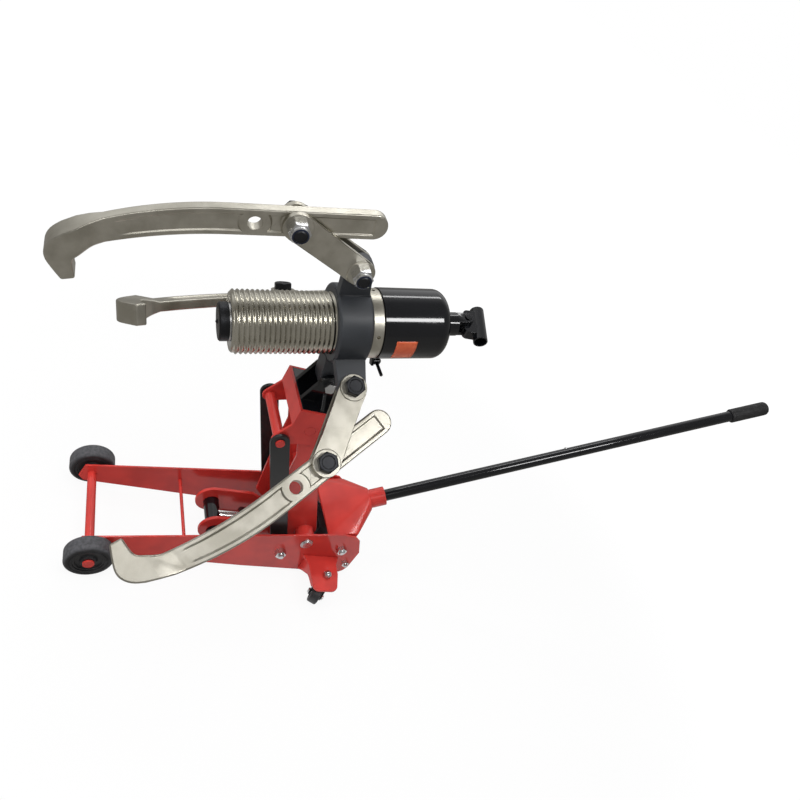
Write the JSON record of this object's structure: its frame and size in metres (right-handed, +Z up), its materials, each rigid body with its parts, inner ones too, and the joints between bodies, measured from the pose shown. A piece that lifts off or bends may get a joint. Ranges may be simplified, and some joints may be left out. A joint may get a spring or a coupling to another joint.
{
  "type": "gear puller",
  "caption": "Hydraulic gear puller with link-mounted claw jaws on a threaded ram cylinder, carried by a wheeled lifting trolley with a tow handle.",
  "frame": {"origin": "on the floor under the middle of the front axle", "axes": "+X from the jaws back to the tow handle, +Y across to the operator's right, +Z up from the floor"},
  "size_m": [1.9429, 0.713, 0.9565],
  "materials": {
    "red_paint": "gloss",
    "black_paint": "gloss",
    "grip": "matte",
    "dark_cast": "satin",
    "nickel": "satin",
    "zinc": "bright",
    "ground_steel": "ground",
    "black_oxide": "black oxide",
    "tyre": "matte",
    "wheel_plastic": "matte"
  },
  "bodies": {
    "chassis": {"left_side_plate": "red_paint", "right_side_plate": "red_paint", "front_axle": "red_paint", "tie_rods": "zinc", "caster_ears": "red_paint", "arm_shaft": "zinc", "pivot_bolts": "zinc", "pump_block": "dark_cast", "jack_cylinder": "black_paint"},
    "left_wheel": {"left_front_tyre": "tyre", "left_front_hub": "wheel_plastic"},
    "right_wheel": {"right_front_tyre": "tyre", "right_front_hub": "wheel_plastic"},
    "left_swivel": {"left_caster_fork": "black_paint", "left_caster_fasteners": "zinc"},
    "left_roller": {"left_caster_wheel": "wheel_plastic"},
    "right_swivel": {"right_caster_fork": "black_paint", "right_caster_fasteners": "zinc"},
    "right_roller": {"right_caster_wheel": "wheel_plastic"},
    "arm": {"lift_arm": "red_paint"},
    "left_strap": {"left_guide_strap": "black_paint"},
    "right_strap": {"right_guide_strap": "black_paint"},
    "carriage": {"carriage_frame": "red_paint", "carriage_cross_tube": "red_paint", "arm_top_pin": "red_paint", "puller_bracket": "black_paint", "bracket_bolt": "zinc"},
    "lift_jack": {"lift_ram": "ground_steel", "crosshead_shaft": "black_paint", "pull_links": "red_paint"},
    "yoke": {"handle_yoke": "red_paint"},
    "plunger": {"jack_plunger": "ground_steel"},
    "handle": {"handle_lower_tube": "black_paint", "handle_upper_tube": "black_paint", "handle_grip": "grip"},
    "head": {"puller_head": "dark_cast"},
    "core": {"gland_ring": "ground_steel"},
    "cylinder": {"threaded_cylinder": "nickel", "lock_collar": "nickel", "cylinder_body": "black_paint", "pump_neck": "black_paint"},
    "ram": {"puller_ram": "ground_steel", "ram_nose": "black_oxide"},
    "valve": {"release_lever": "black_paint"},
    "socket": {"pump_socket": "black_paint"},
    "piston": {"pump_plunger": "ground_steel"},
    "top_link": {"top_links": "nickel", "top_bolts": "black_oxide", "top_nuts": "zinc"},
    "top_arm": {"top_jaw": "nickel"},
    "left_link": {"left_links": "nickel", "left_bolts": "black_oxide", "left_nuts": "zinc"},
    "left_arm": {"left_jaw": "nickel"},
    "right_link": {"right_links": "nickel", "right_bolts": "black_oxide", "right_nuts": "zinc"},
    "right_arm": {"right_jaw": "nickel"}
  },
  "joints": [
    {"name": "left_wheel_spin", "type": "hinge", "parent": "chassis", "child": "left_wheel", "pos_m": [0, -0.13, 0.05], "axis": [0, 1, 0], "continuous": true},
    {"name": "right_wheel_spin", "type": "hinge", "parent": "chassis", "child": "right_wheel", "pos_m": [0, 0.13, 0.05], "axis": [0, 1, 0], "continuous": true},
    {"name": "left_caster_swivel", "type": "hinge", "parent": "chassis", "child": "left_swivel", "pos_m": [0.556, -0.163, 0], "axis": [0, 0, 1], "continuous": true},
    {"name": "left_caster_roll", "type": "hinge", "parent": "left_swivel", "child": "left_roller", "pos_m": [0.54169, -0.1859, 0.024], "axis": [0.848, -0.5299, 0], "continuous": true},
    {"name": "right_caster_swivel", "type": "hinge", "parent": "chassis", "child": "right_swivel", "pos_m": [0.556, 0.163, 0], "axis": [0, 0, 1], "continuous": true},
    {"name": "right_caster_roll", "type": "hinge", "parent": "right_swivel", "child": "right_roller", "pos_m": [0.556, 0.19, 0.024], "axis": [1, 0, 0], "continuous": true},
    {"name": "lift_arm_swing", "type": "hinge", "parent": "chassis", "child": "arm", "pos_m": [0.4907, 0, 0.1167], "axis": [0, 1, 0], "range_deg": [-40, 5]},
    {"name": "left_strap_swing", "type": "hinge", "parent": "chassis", "child": "left_strap", "pos_m": [0.4357, 0, 0.0781], "axis": [0, 1, 0], "range_deg": [-40, 5]},
    {"name": "right_strap_swing", "type": "hinge", "parent": "chassis", "child": "right_strap", "pos_m": [0.4357, 0, 0.0781], "axis": [0, 1, 0], "range_deg": [-40, 5]},
    {"name": "carriage_level", "type": "hinge", "parent": "arm", "child": "carriage", "pos_m": [0.3462, 0, 0.46383], "axis": [0, 1, 0], "range_deg": [-5, 40]},
    {"name": "lift_ram_stroke", "type": "slide", "parent": "chassis", "child": "lift_jack", "axis": [1, 0, 0], "range_m": [-0.0056, 0.0446]},
    {"name": "handle_pump", "type": "hinge", "parent": "chassis", "child": "yoke", "pos_m": [0.5944, 0, 0.1055], "axis": [0, -1, 0], "range_deg": [-20, 20]},
    {"name": "jack_plunger_stroke", "type": "slide", "parent": "chassis", "child": "plunger", "axis": [0, 0, 1], "range_m": [-0.0105, 0.0105]},
    {"name": "handle_twist", "type": "hinge", "parent": "yoke", "child": "handle", "pos_m": [0.697, 0, 0.2145], "axis": [0.8607, 0, 0.509], "range_deg": [-90, 90]},
    {"name": "puller_tilt", "type": "hinge", "parent": "carriage", "child": "head", "pos_m": [0.35251, 0, 0.56513], "axis": [0, 1, 0], "range_deg": [-8, 20]},
    {"name": "cylinder_advance", "type": "slide", "parent": "head", "child": "core", "axis": [0.9563, 0, 0.2924], "range_m": [0, 0.0961]},
    {"name": "cylinder_turn", "type": "hinge", "parent": "core", "child": "cylinder", "pos_m": [0.3107, 0, 0.70188], "axis": [0.9563, 0, 0.2924], "range_deg": [0, 3600]},
    {"name": "ram_stroke", "type": "slide", "parent": "cylinder", "child": "ram", "axis": [-0.9563, 0, -0.2924], "range_m": [0, 0.1]},
    {"name": "release_valve", "type": "hinge", "parent": "cylinder", "child": "valve", "pos_m": [0.41977, -0.02829, 0.65396], "axis": [0.9563, 0, 0.2924], "range_deg": [-20, 20]},
    {"name": "pump_swing", "type": "hinge", "parent": "cylinder", "child": "socket", "pos_m": [0.58066, 0, 0.78441], "axis": [-0.286, -0.2079, 0.9354], "range_deg": [-9, 31]},
    {"name": "pump_plunger_stroke", "type": "slide", "parent": "cylinder", "child": "piston", "axis": [0.9563, 0, 0.2924], "range_m": [-0.0013, 0.0044]},
    {"name": "top_link_swing", "type": "hinge", "parent": "head", "child": "top_link", "pos_m": [0.28623, -0.00963, 0.83835], "axis": [-0.0204, 0.9976, 0.0667], "range_deg": [-5, 35]},
    {"name": "top_jaw_swing", "type": "hinge", "parent": "top_link", "child": "top_arm", "pos_m": [0.13507, -0.01599, 0.88727], "axis": [-0.0204, 0.9976, 0.0667], "range_deg": [-3, 14]},
    {"name": "left_link_swing", "type": "hinge", "parent": "head", "child": "left_link", "pos_m": [0.34904, -0.11441, 0.63291], "axis": [-0.2424, -0.5592, 0.7928], "range_deg": [-30, 8]},
    {"name": "left_jaw_swing", "type": "hinge", "parent": "left_link", "child": "left_arm", "pos_m": [0.3099, -0.23445, 0.53627], "axis": [-0.2424, -0.5592, 0.7928], "range_deg": [-10, 10]},
    {"name": "right_link_swing", "type": "hinge", "parent": "head", "child": "right_link", "pos_m": [0.34416, 0.12403, 0.64885], "axis": [0.2628, -0.4384, -0.8595], "range_deg": [-2, 16]},
    {"name": "right_jaw_swing", "type": "hinge", "parent": "right_link", "child": "right_arm", "pos_m": [0.29077, 0.25021, 0.56817], "axis": [0.2628, -0.4384, -0.8595], "range_deg": [0, 50]}
  ],
  "couplings": [
    {"joint": "left_strap_swing", "follows": "lift_arm_swing", "ratio": 1},
    {"joint": "right_strap_swing", "follows": "lift_arm_swing", "ratio": 1},
    {"joint": "carriage_level", "follows": "lift_arm_swing", "ratio": -1},
    {"joint": "lift_ram_stroke", "follows": "lift_arm_swing", "m_per_rad": -0.0636},
    {"joint": "jack_plunger_stroke", "follows": "handle_pump", "m_per_rad": 0.03},
    {"joint": "cylinder_advance", "follows": "cylinder_turn", "m_per_rad": 0.001512},
    {"joint": "pump_plunger_stroke", "follows": "pump_swing", "m_per_rad": 0.008}
  ]
}
